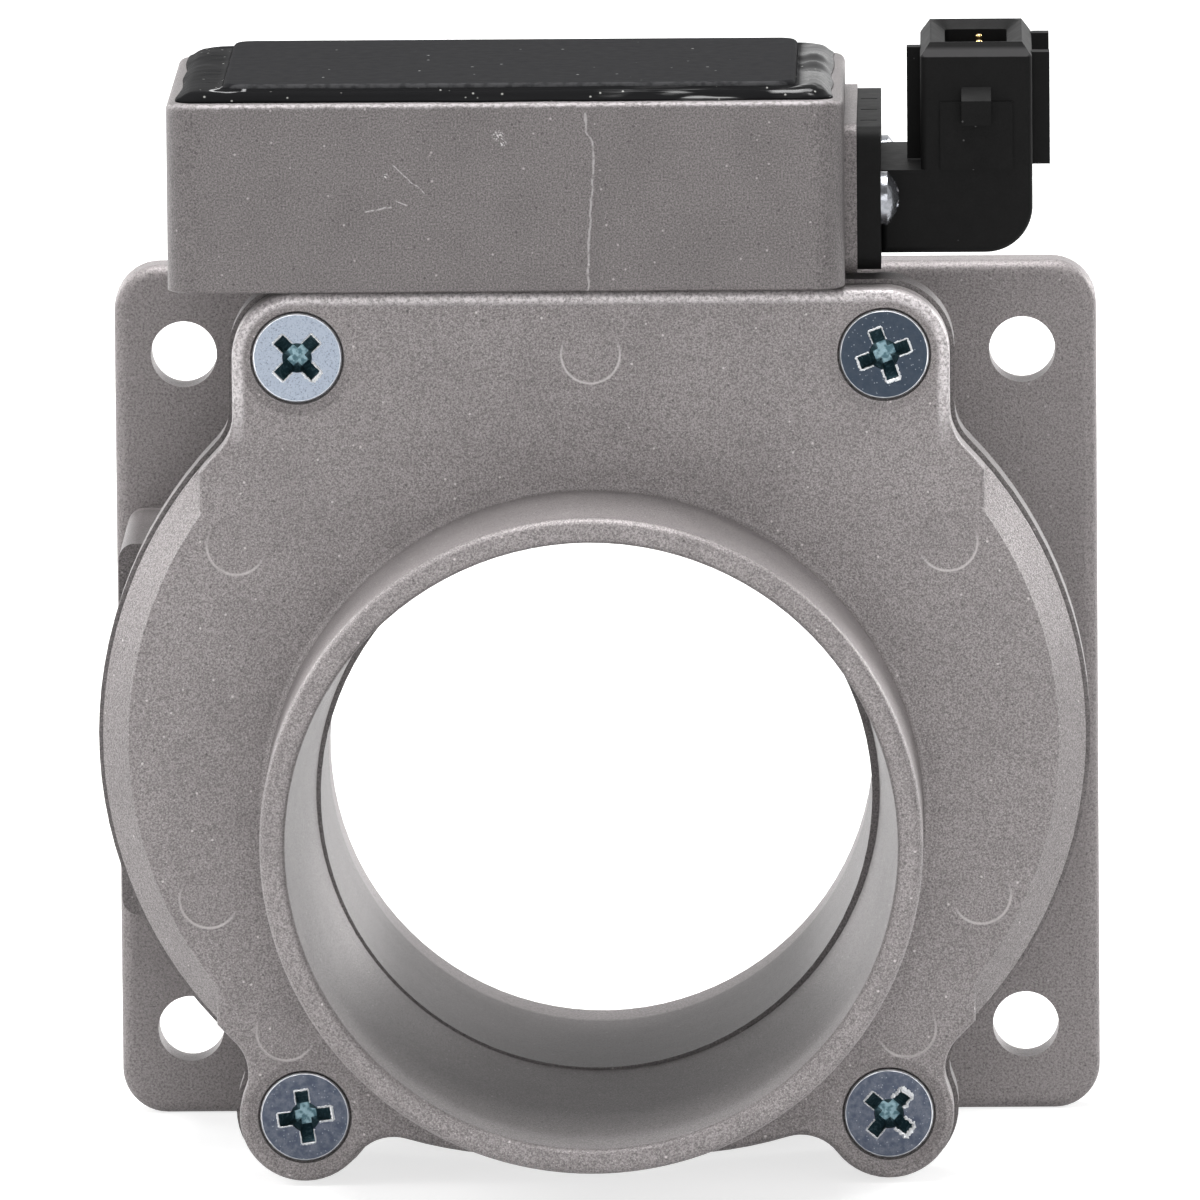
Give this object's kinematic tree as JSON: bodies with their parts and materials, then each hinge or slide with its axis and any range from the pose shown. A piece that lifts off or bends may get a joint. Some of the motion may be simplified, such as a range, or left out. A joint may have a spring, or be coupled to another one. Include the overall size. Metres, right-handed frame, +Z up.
{
  "type": "mass airflow sensor",
  "caption": "Flanged die-cast air duct with a bolted cover and hose stub, a potted electronics box on top and an upright electrical socket at the side.",
  "frame": {"origin": "on the axis of the main air duct, in the plane of the rear mounting face", "axes": "+Y out of the rear mounting face along the duct, so the hose stub points to -Y; +Z up to the electronics box; +X toward the electrical connector"},
  "size_m": [0.1221, 0.0855, 0.1384],
  "materials": {
    "cast_body": "as-cast, matte grey",
    "cast_cover": "as-cast, matte light grey",
    "gasket": "dark fibre sheet",
    "cover_screw_zinc": "bluish zinc plate",
    "lid_plastic": "satin black",
    "compound": "glossy black, poured",
    "plate_metal": "mill finish",
    "board_ceramic": "white ceramic with a printed circuit",
    "transistor_plastic": "black moulding",
    "chip_plastic": "black moulding",
    "capacitor_ceramic": "tan ceramic",
    "resistor_film": "dark film",
    "holder_plastic": "black moulding",
    "ring_rubber": "matte",
    "small_screw_zinc": "zinc plate",
    "pin_metal": "nickel plate",
    "element_glass": "glazed ceramic",
    "lead_metal": "tinned strip",
    "connector_plastic": "satin black moulding",
    "terminal_gold": "gold plate"
  },
  "bodies": {
    "root": {"main_body": "cast_body", "front_cover": "cast_cover", "cover_gasket": "gasket", "cover_screws": "cover_screw_zinc", "module_lid": "lid_plastic", "sealing_compound": "compound", "module_plate": "plate_metal", "circuit_board": "board_ceramic", "power_transistor": "transistor_plastic", "control_chip": "chip_plastic", "amplifier_chip": "chip_plastic", "chip_capacitors": "capacitor_ceramic", "film_resistors": "resistor_film", "probe_holder": "holder_plastic", "holder_ring": "ring_rubber", "holder_screws": "small_screw_zinc", "support_pins": "pin_metal", "hot_wire_element": "element_glass", "air_temperature_element": "element_glass", "element_leads": "lead_metal", "connector_housing": "connector_plastic", "connector_seal": "ring_rubber", "connector_screws": "small_screw_zinc", "terminal_1": "terminal_gold", "terminal_2": "terminal_gold", "terminal_3": "terminal_gold", "terminal_lead_1": "lead_metal", "terminal_lead_2": "lead_metal", "terminal_lead_3": "lead_metal"}
  },
  "joints": []
}
